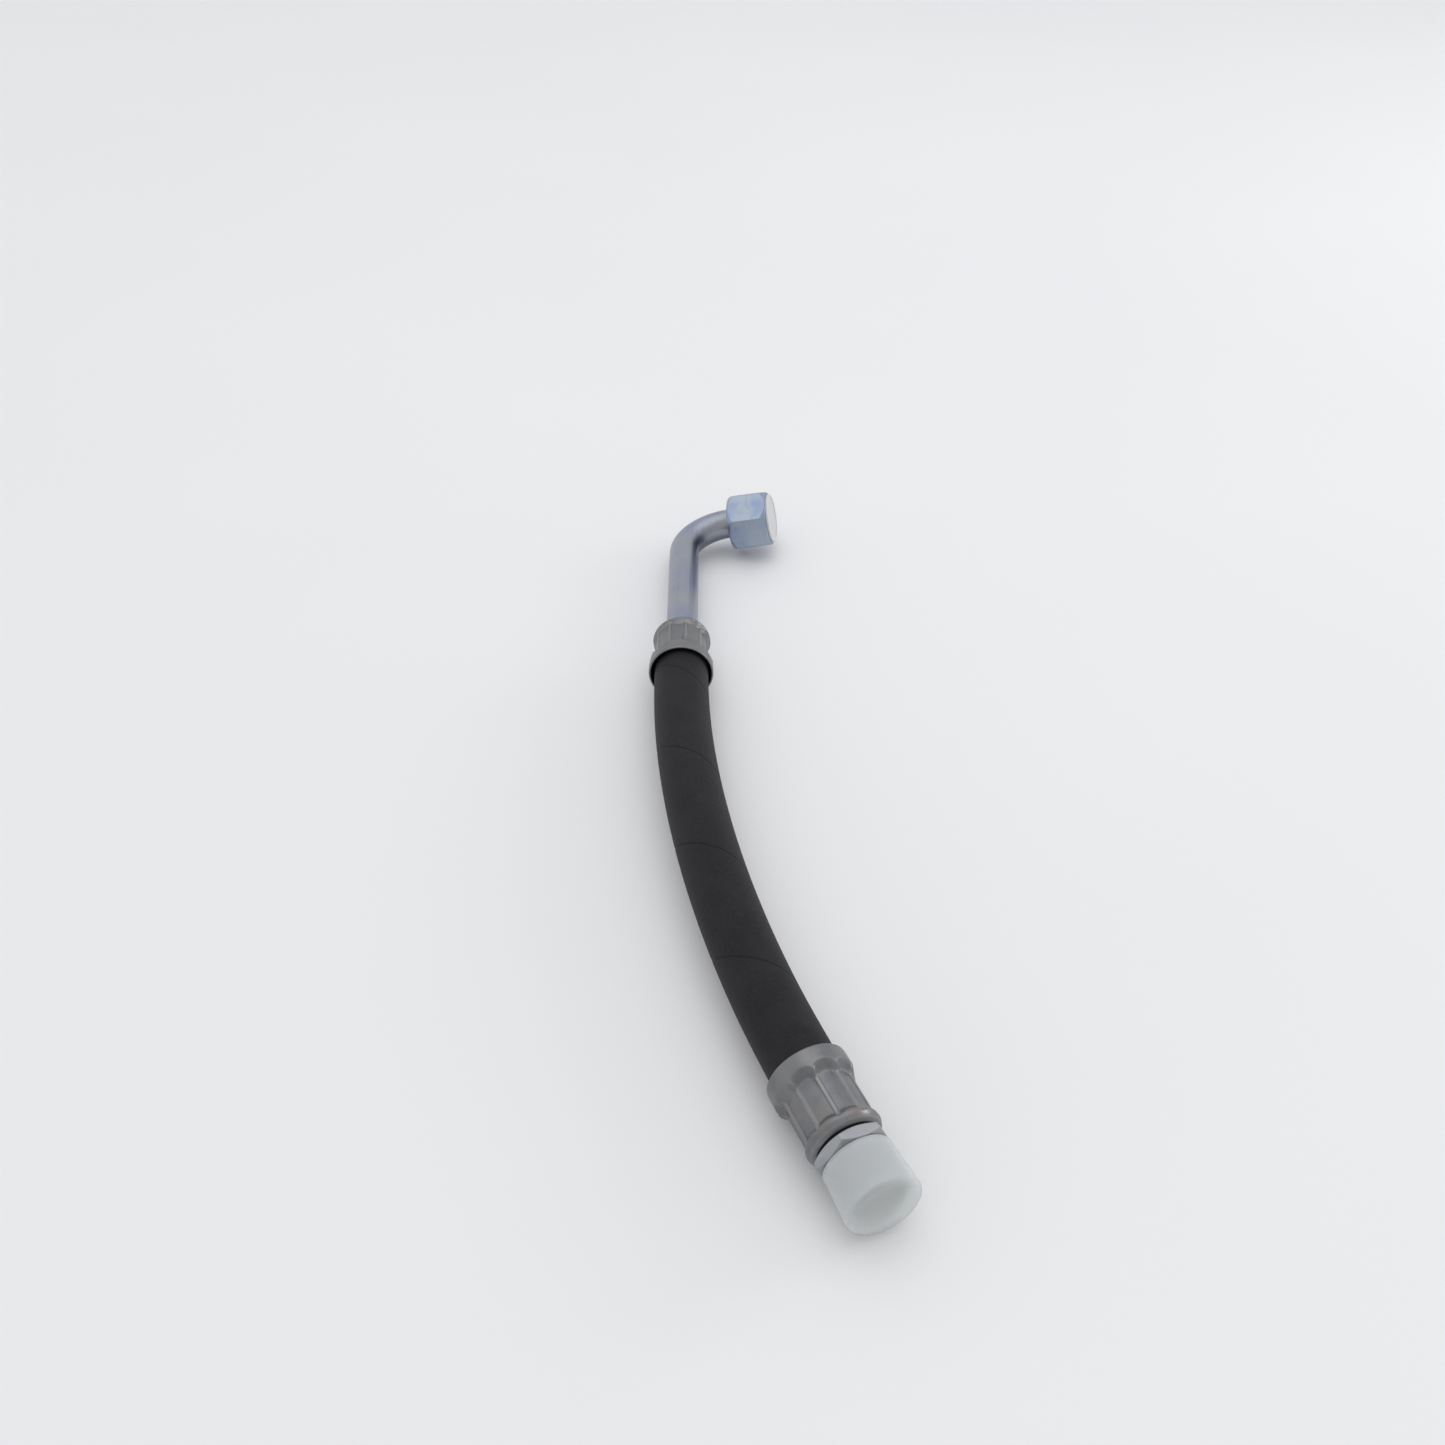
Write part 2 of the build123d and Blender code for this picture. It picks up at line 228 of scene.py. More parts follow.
def end_place(inside_end, next_point, lift=0.0):
    out = (Vector(inside_end) - Vector(next_point)).normalized()
    across = out.cross(Vector((0, 0, 1))).normalized()
    above = across.cross(out)
    leg = across * math.cos(math.radians(lift)) + above * math.sin(math.radians(lift))
    place = Matrix((leg, out, leg.cross(out))).transposed().to_4x4()
    place.translation = Vector(inside_end) - out * HOSE_DEPTH * MM
    return place


stud_end = end_place(ROUTE[0], ROUTE[1])
elbow_end = end_place(ROUTE[-1], ROUTE[-2], LEG_LIFT)
print("stud's ferrule mouth", [round(c, 4) for c in stud_end.translation])
print("tube's ferrule mouth", [round(c, 4) for c in elbow_end.translation])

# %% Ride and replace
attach(cover, "hose_assembly")
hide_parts("hose_cover")

# %% [markdown]
# ## Turned pieces
# Fittings are made on a lathe from bar, so an outline of (radius, place along the axis) in
# millimetres says nearly all. A Screw modifier would spin such an outline, but it couldn't put
# a hexagon, a thread or crimp marks into the same surface. Here each row may give its radius
# and its place as one number or as a value for every angle, and all of those become possible.
# No real edge is razor sharp, so a second helper rounds an outline's corners.

# %% Lathe helpers
AROUND = 240
ANGLE = np.arange(AROUND) * 2 * math.pi / AROUND


def turned(name, place, outline, loop=True, angle=ANGLE):
    rows = []
    for radius, along in outline:
        r = np.broadcast_to(radius, angle.shape) * MM
        y = np.broadcast_to(along, angle.shape) * MM
        rows.append(np.stack([r * np.cos(angle), y, r * np.sin(angle)], axis=1))
    return put(skin(name, rows, loop), place)


def put(piece, place):
    """Move a mesh from its own axis to its place, and keep its own coordinates for the finishes."""
    mesh = piece.data
    own = np.zeros(len(mesh.vertices) * 3, np.float32)
    mesh.vertices.foreach_get("co", own)
    mesh.attributes.new("own_place", "FLOAT_VECTOR", "POINT").data.foreach_set("vector", own)
    mesh.transform(place)
    mesh.update()
    return piece


def rounded(outline, edge=0.2, steps=4, loop=True):
    soft = []
    last = len(outline) - 1
    for k, (radius, along, *own) in enumerate(outline):
        here = np.array([radius, along], float)
        size = own[0] if own else edge
        if not loop and k in (0, last):
            soft.append(tuple(here))
            continue
        before = np.array(outline[k - 1][:2]) - here
        after = np.array(outline[(k + 1) % (last + 1)][:2]) - here
        room = 0.45 * min(np.linalg.norm(before), np.linalg.norm(after))
        start = here + before / np.linalg.norm(before) * min(size, room)
        end = here + after / np.linalg.norm(after) * min(size, room)
        for t in np.linspace(0, 1, steps + 1):
            soft.append(tuple((1 - t) ** 2 * start + 2 * t * (1 - t) * here + t * t * end))
    return soft


def settle(piece, body, node):
    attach(piece, body)
    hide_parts(node)
    print(piece.name, "rides on", body + ",", len(piece.data.vertices), "points")


# %% [markdown]
# ## Crimped ferrules
# A ferrule is a steel sleeve squeezed onto the hose by ten dies. Each die leaves a flat
# panel, and metal rises in a narrow ridge between two dies. A panel starts in an arch, because
# the die's round edge meets the wider bell there. The panels are worked out as a radius over
# angle and length, which keeps the arch smooth. The rows of angles are closer at the ridges.
# The bent tube's ferrule also has one small dent in its lip, with closer rows across it.

# %% The shape that the dies leave
BELL_R, CRIMP_R, LIP_R = 11.8, 9.7, 10.8
CAVITY_R, THROAT = 10.9, 4.8
PANELS = 10
PANEL_ANGLE = 360 / PANELS
RIDGE_HALF, RIDGE_SLOPE, RIDGE_HEIGHT = 0.42, 0.3, 0.34
ARCH = 1.3
PANEL_DIP = 0.12
LIP_DROP = 1.5
half_panel = [0, 1.2, 2.2, 2.7, 3.2, 3.7, 4.2, 4.7, 5.4, 6.6, 8.4, 10.6, 13, 15.5]
panel_steps = half_panel + [PANEL_ANGLE / 2] + [PANEL_ANGLE - step for step in half_panel[:0:-1]]


def eased(value):
    value = np.clip(value, 0, 1)
    return value * value * (3 - 2 * value)


def crimped_radius(along, panel):
    """Outside radius at a place along the ferrule, for angles past a ridge in degrees."""
    from_ridge = np.minimum(panel, PANEL_ANGLE - panel)
    bow = 1 - (from_ridge / (PANEL_ANGLE / 2) - 1) ** 2
    fall = eased((along + ARCH * (bow - 0.6) - 4.6) / 3.3)
    rise = eased((along - 0.7 * (1 - bow) - 18.7) / 2.4)
    ridge = 1 - eased((from_ridge * math.radians(1) * CRIMP_R - RIDGE_HALF) / RIDGE_SLOPE)
    ridge_zone = eased((along - 5.2) / 2.0) * eased((20.8 - along) / 1.2)
    panel_zone = fall * (1 - rise)
    low = CRIMP_R - PANEL_DIP * bow * panel_zone
    lip = LIP_DROP * (np.maximum(0.0, along - 20.9) / 3.1) ** 2
    return BELL_R + (low - BELL_R) * fall + (LIP_R - low) * rise + ridge * RIDGE_HEIGHT * ridge_zone - lip


# %% Two ferrules
DENT_PLACE = (50.0, 21.2)
DENT_DEPTH = 1.0
DENT_WIDTH = 0.6
DENT_LENGTH = 0.8


def ferrule(name, place, first_ridge, node, dent=None):
    turn = np.repeat(np.arange(PANELS) * PANEL_ANGLE, len(panel_steps))
    degrees = turn + np.tile(panel_steps, PANELS)
    if dent:
        degrees = np.union1d(degrees, dent[0] - first_ridge + np.arange(-7.5, 8, 1))
    panel = degrees % PANEL_ANGLE
    angle = np.radians(first_ridge + degrees)
    outer = []
    for s in np.arange(0.4, 23.7, 0.25):
        radius = crimped_radius(s, panel)
        if dent:
            sideways = (angle - math.radians(dent[0])) * BELL_R / DENT_WIDTH
            lengthways = (s - dent[1]) / DENT_LENGTH
            radius = radius - DENT_DEPTH * np.exp(-(sideways ** 2) - lengthways ** 2)
        outer.append((radius, s))
    mouth = [(CAVITY_R, 0.35), (CAVITY_R + 0.12, 0.1), (CAVITY_R + 0.32, 0.0)]
    mouth += [(BELL_R - 0.32, 0.0), (BELL_R - 0.1, 0.12)]
    end = [(9.3, 23.87), (9.1, 24.0), (8.7, 24.0)]
    back = rounded([
        (6.2, 24.0), (6.2, 21.4), (7.6, 21.4), (7.6, 19.6), (8.35, 19.6), (8.35, THROAT),
        (HOSE_R, THROAT), (CAVITY_R, 3.7), (CAVITY_R, 2.0),
    ], loop=False)
    piece = turned(name, place, mouth + outer + end + back, angle=angle)
    settle(piece, "hose_assembly", node)
    return piece


stud_sleeve = ferrule("stud_crimp_sleeve", stud_end, 8.0, "stud_ferrule")
elbow_sleeve = ferrule("elbow_crimp_sleeve", elbow_end, 31.7, "elbow_ferrule", dent=DENT_PLACE)

# %% [markdown]
# ## The stud
# The stud fitting is one turned piece: a barbed tail inside the hose, a hexagon, and a thread
# with a cone-shaped seat in its end. Screw threads are often left to a bump map, but the cap
# comes off this one, so its groove is real: a V that moves on by one pitch in each turn. The
# hexagon's radius follows from the angle to its nearest flat, and its two chamfers end on the
# exact curve where a cone meets the flats.

# %% Hexagons and threads as rows
SOFT = 0.16


def hexagon_rows(across_flats, low, high, corner, chamfer_angle, chamfer_circle):
    slope = math.tan(math.radians(chamfer_angle))
    to_flat = (np.degrees(ANGLE) - corner) % 60 - 30
    radius = across_flats / 2 / np.cos(np.radians(to_flat))
    rim = across_flats / 2 * chamfer_circle
    depth = (radius - rim) * slope
    soft = SOFT / max(1.0, slope)
    cone = [(rim - SOFT, 0.0), (rim, 0.02), (rim + soft, soft * slope)]
    edge = [(radius - soft, depth - soft * slope), (radius - 0.02, depth)]
    edge += [(radius, depth + SOFT), (radius, depth + 3 * SOFT)]
    start = [(r, low + d) for r, d in cone + edge]
    finish = [(r, high - d) for r, d in reversed(cone + edge)]
    return start + finish


def thread_rows(places, crest, depth, pitch, envelope):
    rows = []
    for place in places:
        phase = (place / pitch + ANGLE / (2 * math.pi)) % 1
        groove = np.clip((1 - np.abs(2 * phase - 1)) * 1.35 - 0.12, 0, 1)
        rows.append((envelope(place, crest - depth * groove), place))
    return rows


# %% The stud fitting
PITCH = 1.5
tail = []
for barb in range(6):
    tail += [(4.35, 2.5 + 2.85 * barb), (4.75, 5.35 + 2.85 * barb)]
neck = rounded([(3.25, 2.5)] + tail + [(7.6, 19.6), (7.6, 21.4), (6.0, 21.4), (6.0, 24.6), (8.0, 24.6)],
               edge=0.12, steps=2, loop=False)
hexagon = hexagon_rows(19.0, 24.6, 28.4, 6.0, 30, 0.95)
relief = [(8.3, 28.4), (7.98, 28.43), (7.9, 28.55), (7.9, 29.0)]


def stud_envelope(place, thread):
    ramp = 7.9 + max(0.0, place - 29.45)
    chamfer = 9.0 - max(0.0, place - 39.4)
    return np.minimum(thread, max(7.9, min(9.0, ramp, chamfer)))


stud_thread = thread_rows(np.arange(29.1, 40.3, PITCH / 16), 9.0, 0.92, PITCH, stud_envelope)
seat = rounded([
    (8.05, 40.4), (7.0, 40.4), (6.05, 35.93), (6.05, 32.33), (3.25, 32.33), (3.25, 20.0),
], edge=0.15, steps=3, loop=False)
stud = turned("stud_body", stud_end, neck + hexagon + relief + stud_thread + seat)
settle(stud, "hose_assembly", "stud_fitting")

# %% [markdown]
# ## The bent tube
# A 12 mm steel tube is bent through 98 degrees round a small die. The bend flattens it a
# little across, and swells it a little above and below. A bevelled curve can't do that, so the
# tube is skinned from rings too: along the straight, round the bend, and out of its short leg.

# %% The tube
TUBE_R, TUBE_WALL = 6.0, 1.5
TUBE_START, BEND_START = 21.4, 88.5
BEND_R, BEND_ANGLE, LEG_LENGTH = 18.0, 98.0, 3.0
FLATTENED = 0.022

straight = [(0.0, s, 0.0, 0.0) for s in np.linspace(TUBE_START, BEND_START, 40)]
bend = []
for turn in np.linspace(0, math.radians(BEND_ANGLE), 50)[1:]:
    squeeze = FLATTENED * math.sin(math.pi * turn / math.radians(BEND_ANGLE)) ** 0.5
    bend.append((BEND_R * (1 - math.cos(turn)), BEND_START + BEND_R * math.sin(turn), turn, squeeze))
way = (math.sin(math.radians(BEND_ANGLE)), math.cos(math.radians(BEND_ANGLE)))
leg = [(bend[-1][0] + way[0] * d, bend[-1][1] + way[1] * d, bend[-1][2], 0.0)
       for d in (1.0, 2.0, LEG_LENGTH)]


def tube_rings(stations, radius):
    rings = []
    for x, y, turn, squeeze in stations:
        across = radius * (1 - squeeze) * np.cos(ANGLE[::3])
        up = radius * (1 + 0.4 * squeeze) * np.sin(ANGLE[::3])
        rings.append(np.stack([x + across * math.cos(turn), y - across * math.sin(turn), up], axis=1))
    return rings


tube_line = straight + bend + leg
tube_rows = tube_rings(tube_line, TUBE_R) + tube_rings(tube_line[::-1], TUBE_R - TUBE_WALL)
tube_step = [math.dist(a[:2], b[:2]) for a, b in zip(tube_line, tube_line[1:])]
tube_along = np.append(0.0, np.cumsum(tube_step)) * MM
tube = skin("bent_tube", np.array(tube_rows) * MM, along=np.append(tube_along, tube_along[::-1]))
put(tube, elbow_end)
settle(tube, "hose_assembly", "elbow_tube")
leg_end = (
    elbow_end
    @ Matrix.Translation(Vector((leg[-1][0], leg[-1][1], 0)) * MM)
    @ Matrix.Rotation(math.radians(-BEND_ANGLE), 4, "Z")
)
print("tube ends at", [round(c, 4) for c in leg_end.translation])

# %% [markdown]
# ## The cone head and its ring
# Inside the nut the tube carries a cone that seals in the other pipe's seat, with a rubber ring
# in a groove. Both are seen only when the plug is out. They are small turned pieces, with the
# groove cut square and the ring a torus that stands just proud of the cone.

# %% Cone head and O-ring
CONE_START, NOSE = 4.5, 13.1
RING_MIDDLE, RING_R, RING_CORD = 8.5, 5.75, 0.75


def cone_r(place):
    return 7.0 - (place - CONE_START) * math.tan(math.radians(12))


head = turned("seal_cone", leg_end, rounded([
    (4.0, -2.8), (4.5, -2.8), (4.5, 0.0), (6.0, 0.0), (6.0, 1.2), (7.9, 3.1), (7.9, CONE_START),
    (7.0, CONE_START), (cone_r(7.75), 7.75), (5.0, 7.75), (5.0, 9.25), (cone_r(9.25), 9.25),
    (cone_r(NOSE), NOSE), (4.0, NOSE),
], edge=0.15, steps=3))
settle(head, "hose_assembly", "cone_head")
cord_turn = np.arange(24) * 2 * math.pi / 24
o_ring = turned("seal_ring", leg_end, [
    (RING_R + RING_CORD * math.cos(a), RING_MIDDLE + RING_CORD * math.sin(a)) for a in cord_turn
])
settle(o_ring, "hose_assembly", "cone_o_ring")

# %% [markdown]
# ## The swivel nut
# The nut turns freely behind the cone and pulls it home. It is the same hexagon as the stud's,
# larger, with the thread cut inside. Hexagon, chamfers, bore and thread are one closed skin.

# %% The nut
NUT_BACK, NUT_FRONT = -2.7, 13.8


def nut_envelope(place, thread):
    entry = 8.2 + max(0.0, place - 12.9)
    return np.maximum(thread, entry)


bore = rounded([(8.8, NUT_BACK), (6.25, NUT_BACK, 0.4), (6.25, 1.25), (8.2, 3.2), (8.2, 3.6)],
               steps=3, loop=False)
nut_thread = thread_rows(np.arange(3.7, 13.7, PITCH / 16), 9.0, 0.8, PITCH, nut_envelope)
nut_face = [(9.1, NUT_FRONT), (9.8, NUT_FRONT)]
nut_hexagon = hexagon_rows(22.0, NUT_BACK, NUT_FRONT, 30.0, 53, 0.97)
nut = turned("nut_body", leg_end, nut_hexagon[::-1] + bore + nut_thread + nut_face)
settle(nut, "nut", "swivel_nut")

# %% [markdown]
# ## The plug and the cap
# Both are thin moulded covers that keep dirt out. The plug has a dished flange and a hollow
# stem. The cap is a cup, a little wider at its closed end, with a generous round there. Open
# outlines that start and end near the axis make closed solids with no hole.

# %% Plug and cap
plug = turned("nut_plug_body", leg_end, rounded([
    (1.5, 14.5), (9.0, 14.5, 0.15), (9.0, 14.8, 0.15), (10.1, 14.8, 0.3), (10.1, NUT_FRONT, 0.25),
    (8.1, NUT_FRONT), (8.1, 9.4, 0.3), (7.1, 9.4, 0.3), (7.1, 13.5, 0.5), (1.5, 13.5),
], steps=5, loop=False), loop=False)
settle(plug, "plug", "nut_plug")
cap_outline = rounded([
    (1.5, 43.8), (10.7, 43.8, 2.6), (9.85, 28.6, 0.25), (9.1, 28.6, 0.25),
    (9.95, 42.8, 1.7), (1.5, 42.8),
], steps=10, loop=False)
cap = turned("cap_cup", stud_end, cap_outline, loop=False)
settle(cap, "cap", "thread_cap")

# %% [markdown]
# ## Shader maths in plain Python
# A finish is a network of nodes, and a long network is hard to read as links. Here a signal
# wraps one output socket, and adding or multiplying signals adds the Math nodes. Any other node
# comes from one method, which sets its settings first and then its sockets. Numbers that are
# the same all over a surface go straight onto the shader's own sockets.

# %% Signals and finishes
class Signal:
    """One output socket that can be used in plain arithmetic."""

    def __init__(self, finish, socket):
        self.finish = finish
        self.socket = socket

    def maths(self, operation, first, second=0.0):
        return self.finish.node("ShaderNodeMath", {"operation": operation}, {0: first, 1: second})

    def __add__(self, other):
        return self.maths("ADD", self, other)

    def __radd__(self, other):
        return self.maths("ADD", other, self)

    def __sub__(self, other):
        return self.maths("SUBTRACT", self, other)

    def __rsub__(self, other):
        return self.maths("SUBTRACT", other, self)

    def __mul__(self, other):
        return self.maths("MULTIPLY", self, other)

    def __rmul__(self, other):
        return self.maths("MULTIPLY", other, self)

    def __abs__(self):
        return self.maths("ABSOLUTE", self)

    def sine(self):
        return self.maths("SINE", self)

    def fraction(self):
        return self.maths("FRACT", self)

    def eased(self, low, high):
        """0 at low, 1 at high, and a smooth step between."""
        settings = {"interpolation_type": "SMOOTHSTEP"}
        sockets = {"Value": self, "From Min": low, "From Max": high}
        return self.finish.node("ShaderNodeMapRange", settings, sockets)

    def part(self, name):
        return Signal(self.finish, self.socket.node.outputs[name])


class Network:
    """A node tree, and the one method that adds a node to it."""

    def __init__(self, tree):
        self.tree = tree
        self.coordinates = self.node("ShaderNodeTexCoord", {}, {})

    def feed(self, socket, value):
        if isinstance(value, Signal):
            self.tree.links.new(value.socket, socket)
        else:
            socket.default_value = value

    def node(self, kind, settings, sockets, output=0):
        node = self.tree.nodes.new(kind)
        for key, value in settings.items():
            setattr(node, key, value)
        for key, value in sockets.items():
            self.feed(node.inputs[key], value)
        return Signal(self, node.outputs[output])

    def mix(self, factor, first, second):
        return self.node("ShaderNodeMix", {"data_type": "RGBA"}, {0: factor, 6: first, 7: second}, 2)


class Finish(Network):
    """A material made of signals."""

    def __init__(self, name, **fixed):
        self.material = bpy.data.materials.new(name)
        self.material.use_nodes = True
        super().__init__(self.material.node_tree)
        self.shader = self.tree.nodes["Principled BSDF"]
        self.own_place = self.node("ShaderNodeAttribute", {"attribute_name": "own_place"}, {}, "Vector")
        for socket, value in fixed.items():
            self.surface(socket.replace("_", " "), value)

    def surface(self, socket, value):
        self.feed(self.shader.inputs[socket], value)

    def stretched(self, vector, scale):
        return self.node("ShaderNodeVectorMath", {"operation": "MULTIPLY"}, {0: vector, 1: scale})

    def noise(self, vector, scale, detail=2.0):
        return self.node("ShaderNodeTexNoise", {}, {"Vector": vector, "Scale": scale, "Detail": detail})

    def bump(self, height, distance, strength=1.0):
        sockets = {"Height": height, "Distance": distance, "Strength": strength}
        self.surface("Normal", self.node("ShaderNodeBump", {}, sockets))

    def dress(self, *pieces):
        for piece in pieces:
            if not piece.material_slots:
                piece.data.materials.append(self.material)
            for slot in piece.material_slots:
                slot.material = self.material
        print(self.material.name, "on", [piece.name for piece in pieces])


def tone(red, green, blue):
    """A colour as a screen shows it, 0 to 255, turned to the linear values that shaders use."""
    linear = []
    for channel in (red, green, blue):
        c = channel / 255
        linear.append(c / 12.92 if c <= 0.04045 else ((c + 0.055) / 1.055) ** 2.4)
    return (*linear, 1.0)


# %% [markdown]
# ## Hose rubber
# The cover is matt black with a faint print of the fabric tape, and the tape's edge shows as
# one thin dark spiral. The UVs give the angle and the distance along, so the spiral in the
# colour falls on the one in the shape. Two crossed sine waves make the print of the cloth, and
# slow noise makes the mottling that handling and talc leave.

# %% The rubber
rubber = Finish("hose_rubber", Specular_IOR_Level=0.25)
uv = rubber.node("ShaderNodeSeparateXYZ", {}, {"Vector": rubber.coordinates.part("UV")})
around, along = uv.part("X"), uv.part("Y")
turns = along * (1 / (SEAM_PITCH * MM)) - around + (SEAM_START + 0.5 + 4)
seam = 1 - abs(turns.fraction() - 0.5).eased(0.2 / SEAM_PITCH, 0.75 / SEAM_PITCH)
CLOTH_THREAD = 0.55
warp = (along * (math.tau / (CLOTH_THREAD * MM)) + around * (math.tau * 40)).sine()
weft = (along * (math.tau / (CLOTH_THREAD * MM)) - around * (math.tau * 40)).sine()
cloth = warp * weft
spot = rubber.coordinates.part("Object")
mottle = rubber.noise(spot, 90, 3)
dust = rubber.noise(spot, 900, 4).eased(0.5, 0.8)
black = rubber.mix(mottle.eased(0.3, 0.7), tone(22, 20, 24), tone(32, 30, 34))
dusty = rubber.mix(dust * 0.35, black, tone(52, 50, 53))
rubber.surface("Base Color", rubber.mix(seam * 0.8, dusty, tone(12, 12, 13)))
rubber.surface("Roughness", 0.56 + mottle * 0.14 + cloth * 0.03)
rubber.bump(cloth * 0.5 + mottle * 1.5 - seam * 1.5, 0.00006, 0.7)
rubber.dress(cover)

# %% [markdown]
# ## Zinc plate
# The steel is plated with zinc and dipped in a thin passivating film. The film is what gives
# the blue and violet cast, and it changes from place to place like oil on water. A thin-film
# layer in the shader would need one thickness everywhere, so the cast is mixed into the metal's
# colour with two slow noises. The ferrules were crimped after plating, so they are greyer. Their
# ridge tops, lip slope and lip rim carry a faint painted highlight, a lighter grey in the colour.

# %% Plated finishes
def plated(name, plain, cool, warm, roughness, streak, grain, patch_scale=70):
    finish = Finish(name, Metallic=1.0)
    spot = finish.own_place
    patches = finish.noise(spot, patch_scale, 2)
    drift = finish.noise(finish.stretched(spot, (1.3, 0.8, 1.1)), patch_scale * 0.6, 3)
    lines = finish.noise(finish.stretched(spot, streak), 900, 3)
    fine = finish.noise(spot, 2600, 3)
    film = finish.mix(patches.eased(0.35, 0.7), plain, cool)
    colour = finish.mix(drift.eased(0.52, 0.78), film, warm)
    marked = finish.mix(lines.eased(0.56, 0.85) * 0.4, colour, tone(70, 72, 78))
    finish.surface("Base Color", marked)
    finish.surface("Roughness", roughness + patches * 0.08 + fine * 0.12 - lines * 0.05)
    finish.bump(lines * 0.6 + fine * grain, 0.00003, 0.6)
    finish.marked = marked
    return finish


tube_zinc = plated(
    "tube_zinc", tone(157, 160, 166), tone(141, 149, 172), tone(146, 140, 168),
    0.27, (1.0, 0.03, 1.0), 0.5, 48,
)
tube_zinc.dress(tube)
nut_zinc = plated(
    "nut_zinc", tone(164, 175, 188), tone(146, 161, 188), tone(148, 148, 186),
    0.3, (0.25, 0.8, 0.25), 0.6, 120,
)
nut_zinc.dress(nut)
stud_steel = plated(
    "stud_steel", tone(172, 174, 173), tone(160, 164, 170), tone(166, 166, 172),
    0.42, (0.15, 3.0, 0.15), 0.8, 110,
)
stud_steel.dress(stud, head)

# %% Crimped zinc
ferrule_zinc = plated(
    "ferrule_zinc", tone(130, 130, 130), tone(119, 121, 125), tone(132, 128, 126),
    0.28, (1.0, 0.12, 1.0), 1.2, 160,
)
local = ferrule_zinc.node("ShaderNodeSeparateXYZ", {}, {"Vector": ferrule_zinc.own_place})
axis_only = ferrule_zinc.stretched(ferrule_zinc.own_place, (1, 0, 1))
radius = ferrule_zinc.node("ShaderNodeVectorMath", {"operation": "LENGTH"}, {0: axis_only}, "Value")
# Painted highlight: the ridge tops and the lip's slope and rim are mixed a little towards light grey, where
# the light catches them.
ridge_top = radius.eased(9.85 * MM, 10.05 * MM) * (1 - radius.eased(10.1 * MM, 10.5 * MM))
painted_highlight = ridge_top * local.part("Y").eased(7.5 * MM, 8.5 * MM)
colour_with_painted_highlight = ferrule_zinc.mix(painted_highlight * 0.15, ferrule_zinc.marked, tone(190, 190, 189))
ferrule_zinc.surface("Base Color", colour_with_painted_highlight)
ferrule_zinc.dress(stud_sleeve, elbow_sleeve)

# %% [markdown]
# ## Plastics
# The plug is solid white plastic. The cap is left unpigmented, so light passes through it and
# is scattered on the way. Rough transmission gives that milky look, mixed with a share of
# plain white surface, and what is inside the cap is blurred almost away.

# %% White plug
white = Finish("white_plastic", Subsurface_Weight=0.25, Subsurface_Scale=0.002)
white.surface("Subsurface Radius", (1.0, 0.9, 0.8))
spot = white.coordinates.part("Object")
scuffs = white.noise(white.stretched(spot, (1.0, 1.0, 0.25)), 1400, 3).eased(0.6, 0.8)
cloud = white.noise(spot, 150, 2)
clean = white.mix(cloud, tone(206, 207, 209), tone(214, 214, 214))
white.surface("Base Color", white.mix(scuffs * 0.4, clean, tone(205, 206, 208)))
white.surface("Roughness", 0.38 + cloud * 0.12)
white.bump(cloud + white.noise(spot, 2400, 2) * 0.25, 0.00004, 0.5)
white.dress(plug)

# %% Milky cap
milky = Finish("milky_plastic", Transmission_Weight=0.7, IOR=1.12)
spot = milky.coordinates.part("Object")
cloud = milky.noise(spot, 160, 3)
milky.surface("Base Color", milky.mix(cloud * 0.6, tone(250, 252, 252), tone(244, 249, 250)))
milky.surface("Roughness", 0.33 + cloud * 0.08)
milky.bump(cloud, 0.00003, 0.2)
milky.dress(cap)

# %% [markdown]
# ## Layers that stay CAD nodes
# The inner layers of the hose and the barbed insert in the bent tube have the right shape
# already, and they are seen only in a section. They keep their CAD meshes and get finishes:
# plain tube rubber, and wire braid as two crossed sets of strands.

# %% Inner layers
liner = Finish("liner_rubber", Specular_IOR_Level=0.4)
spot = liner.coordinates.part("Object")
speck = liner.noise(spot, 700, 3)
liner.surface("Base Color", liner.mix(speck, tone(30, 30, 31), tone(44, 43, 43)))
liner.surface("Roughness", 0.45 + speck * 0.2)
liner.bump(speck, 0.00005, 0.4)
liner.dress(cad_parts["hose_liner"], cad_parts["hose_mid_layer"])

braid = Finish("braid_wire", Metallic=1.0)
spot = braid.node("ShaderNodeSeparateXYZ", {}, {"Vector": braid.coordinates.part("Object")})
STRAND = math.tau / (1.2 * MM)
one_way = ((spot.part("Y") + spot.part("X") + spot.part("Z")) * STRAND).sine()
other_way = ((spot.part("Y") - spot.part("X") - spot.part("Z")) * STRAND).sine()
weave = one_way * other_way
braid.surface("Base Color", braid.mix(weave.eased(-0.6, 0.8), tone(110, 98, 70), tone(196, 178, 132)))
braid.surface("Roughness", 0.42 - weave * 0.08)
braid.bump(weave, 0.0002, 0.8)
braid.dress(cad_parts["hose_inner_braid"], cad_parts["hose_outer_braid"])
insert = Finish("insert_steel", Metallic=1.0)
turning = insert.noise(insert.stretched(insert.coordinates.part("Object"), (0.3, 3.0, 0.3)), 900, 3)
insert.surface("Base Color", insert.mix(turning, tone(150, 152, 155), tone(190, 191, 192)))
insert.surface("Roughness", 0.3 + turning * 0.15)
insert.bump(turning, 0.00003, 0.5)
insert.dress(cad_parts["elbow_insert"])

seal = Finish("seal_rubber", Specular_IOR_Level=0.5)
speck = seal.noise(seal.coordinates.part("Object"), 1200, 2)
seal.surface("Base Color", seal.mix(speck, tone(22, 22, 23), tone(34, 34, 35)))
seal.surface("Roughness", 0.35 + speck * 0.15)
seal.bump(speck, 0.00003, 0.4)
seal.dress(o_ring)

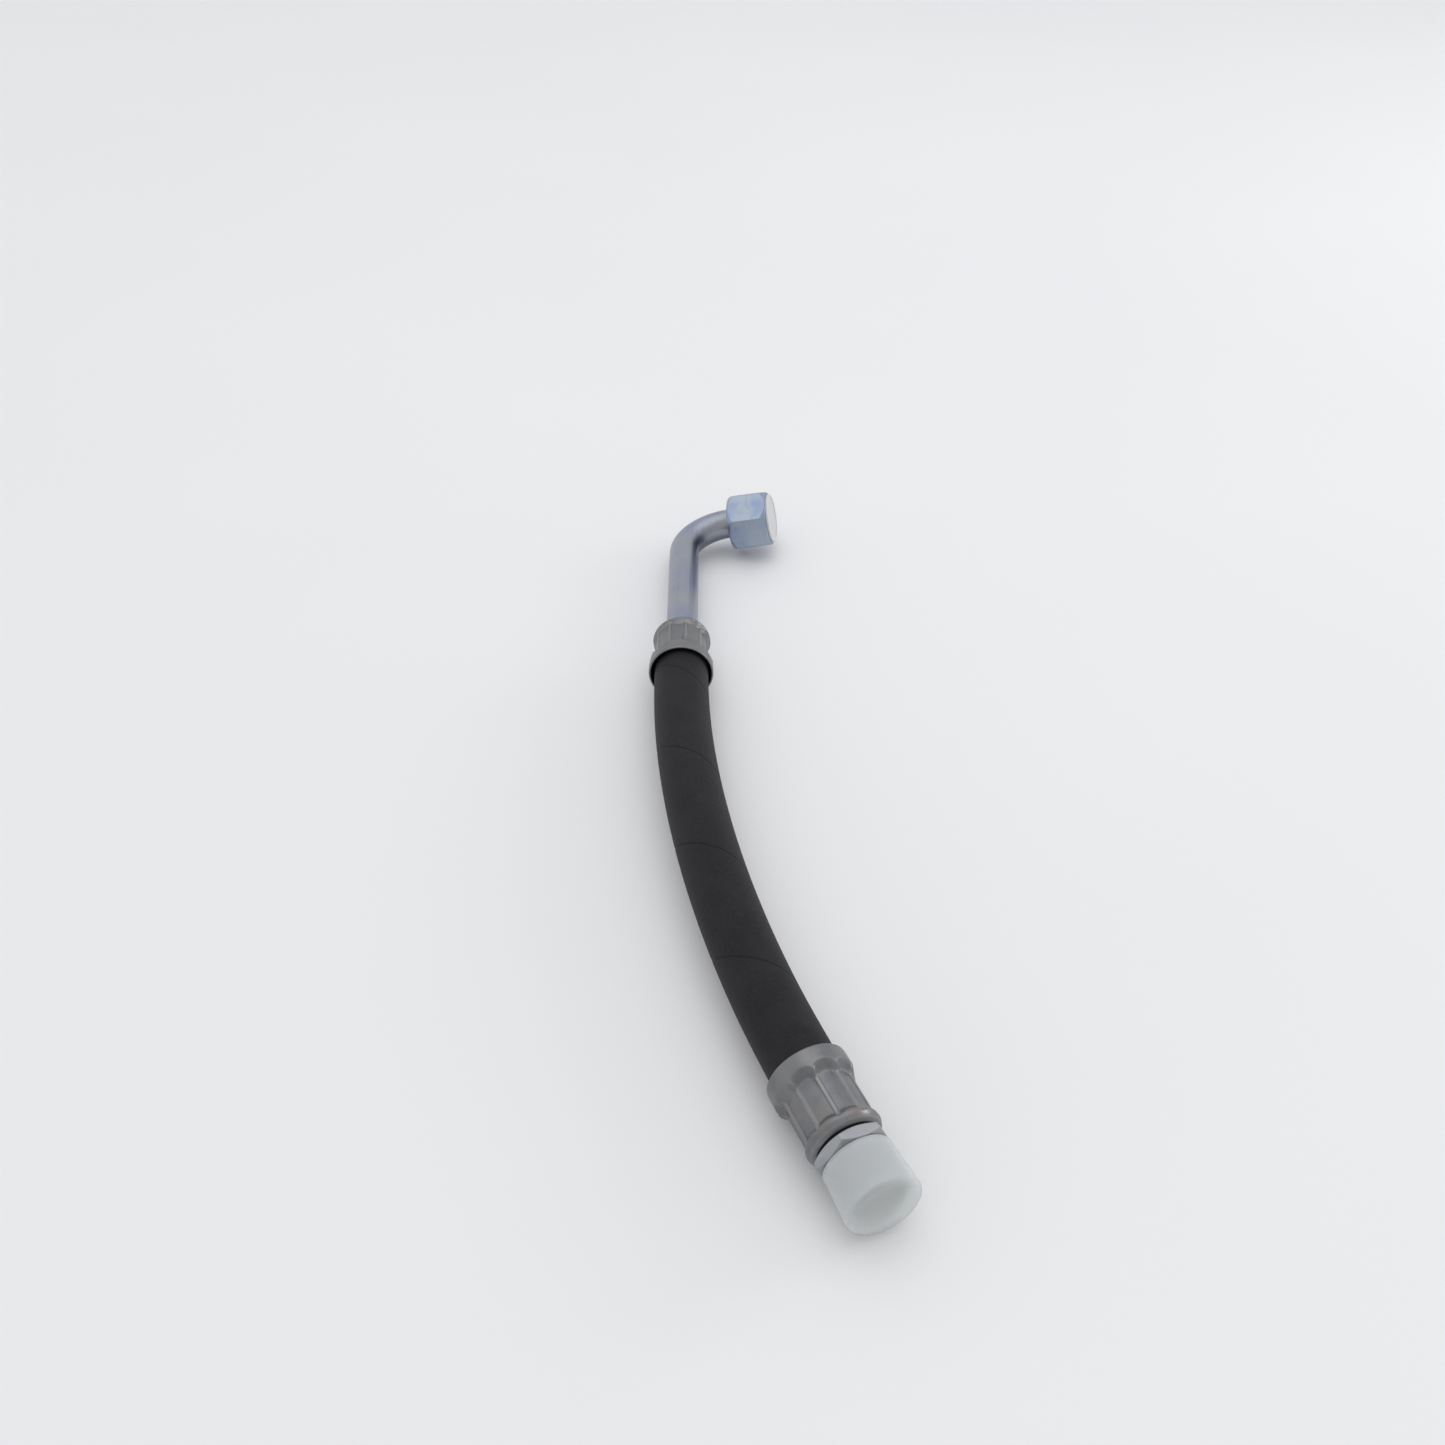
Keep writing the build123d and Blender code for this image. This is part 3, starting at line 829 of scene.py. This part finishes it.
# %% [markdown]
# ## Floor and light
# The part lies on a plain pale board under soft light from above, a little behind and to the
# right. Plated metal shows its surroundings, so the light is three parts: a large soft panel
# overhead, a small bright one low to the right that draws the glints, and a room that is
# palest behind the part. The part rests on its ferrules, with the nut about half a millimetre
# clear, and the gap below the hose leaves a soft shadow.

# %% The floor
FLOOR_Z = -11.8 * MM
grid = np.linspace(-4.0, 4.0, 5)
floor_points = [(x, y, FLOOR_Z) for y in grid for x in grid]
floor_faces = [(r * 5 + c, r * 5 + c + 1, r * 5 + c + 6, r * 5 + c + 5) for r in range(4) for c in range(4)]
floor_mesh = bpy.data.meshes.new("floor")
floor_mesh.from_pydata(floor_points, [], floor_faces)
floor = bpy.data.objects.new("floor", floor_mesh)
collection.objects.link(floor)
board = Finish("pale_board", Roughness=0.6, Specular_IOR_Level=0.2)
shade = board.noise(board.coordinates.part("Object"), 3, 4)
board.surface("Base Color", board.mix(shade, tone(238, 238, 240), tone(243, 243, 243)))
board.dress(floor)

# %% Lights


def panel(name, place, aim, width, height, power):
    light = bpy.data.lights.new(name, "AREA")
    light.shape = "RECTANGLE"
    light.size = width
    light.size_y = height
    light.energy = power
    lamp = bpy.data.objects.new(name, light)
    lamp.location = place
    lamp.rotation_euler = (Vector(aim) - Vector(place)).to_track_quat("-Z", "Y").to_euler()
    collection.objects.link(lamp)
    print(name, "at", place, power, "W")


MIDDLE = (0.03, 0.16, 0.0)
panel("ceiling_panel", (0.25, 0.5, 2.0), MIDDLE, 2.2, 2.0, 7)
panel("lamp_panel", (1.4, 0.05, 0.45), MIDDLE, 0.5, 0.3, 2.6)
world = bpy.data.worlds.new("room")
world.use_nodes = True
room = Network(world.node_tree)
direction = room.node("ShaderNodeSeparateXYZ", {}, {"Vector": room.coordinates.part("Generated")})
lit_side = (direction.part("Y") + direction.part("Z") * 0.6).eased(-0.35, 0.6)
background = world.node_tree.nodes["Background"].inputs
room.feed(background["Color"], room.mix(lit_side, (0.64, 0.635, 0.63, 1.0), (0.84, 0.85, 0.87, 1.0)))
background["Strength"].default_value = 1.0
bpy.context.scene.world = world
bpy.context.scene.view_settings.view_transform = "Standard"
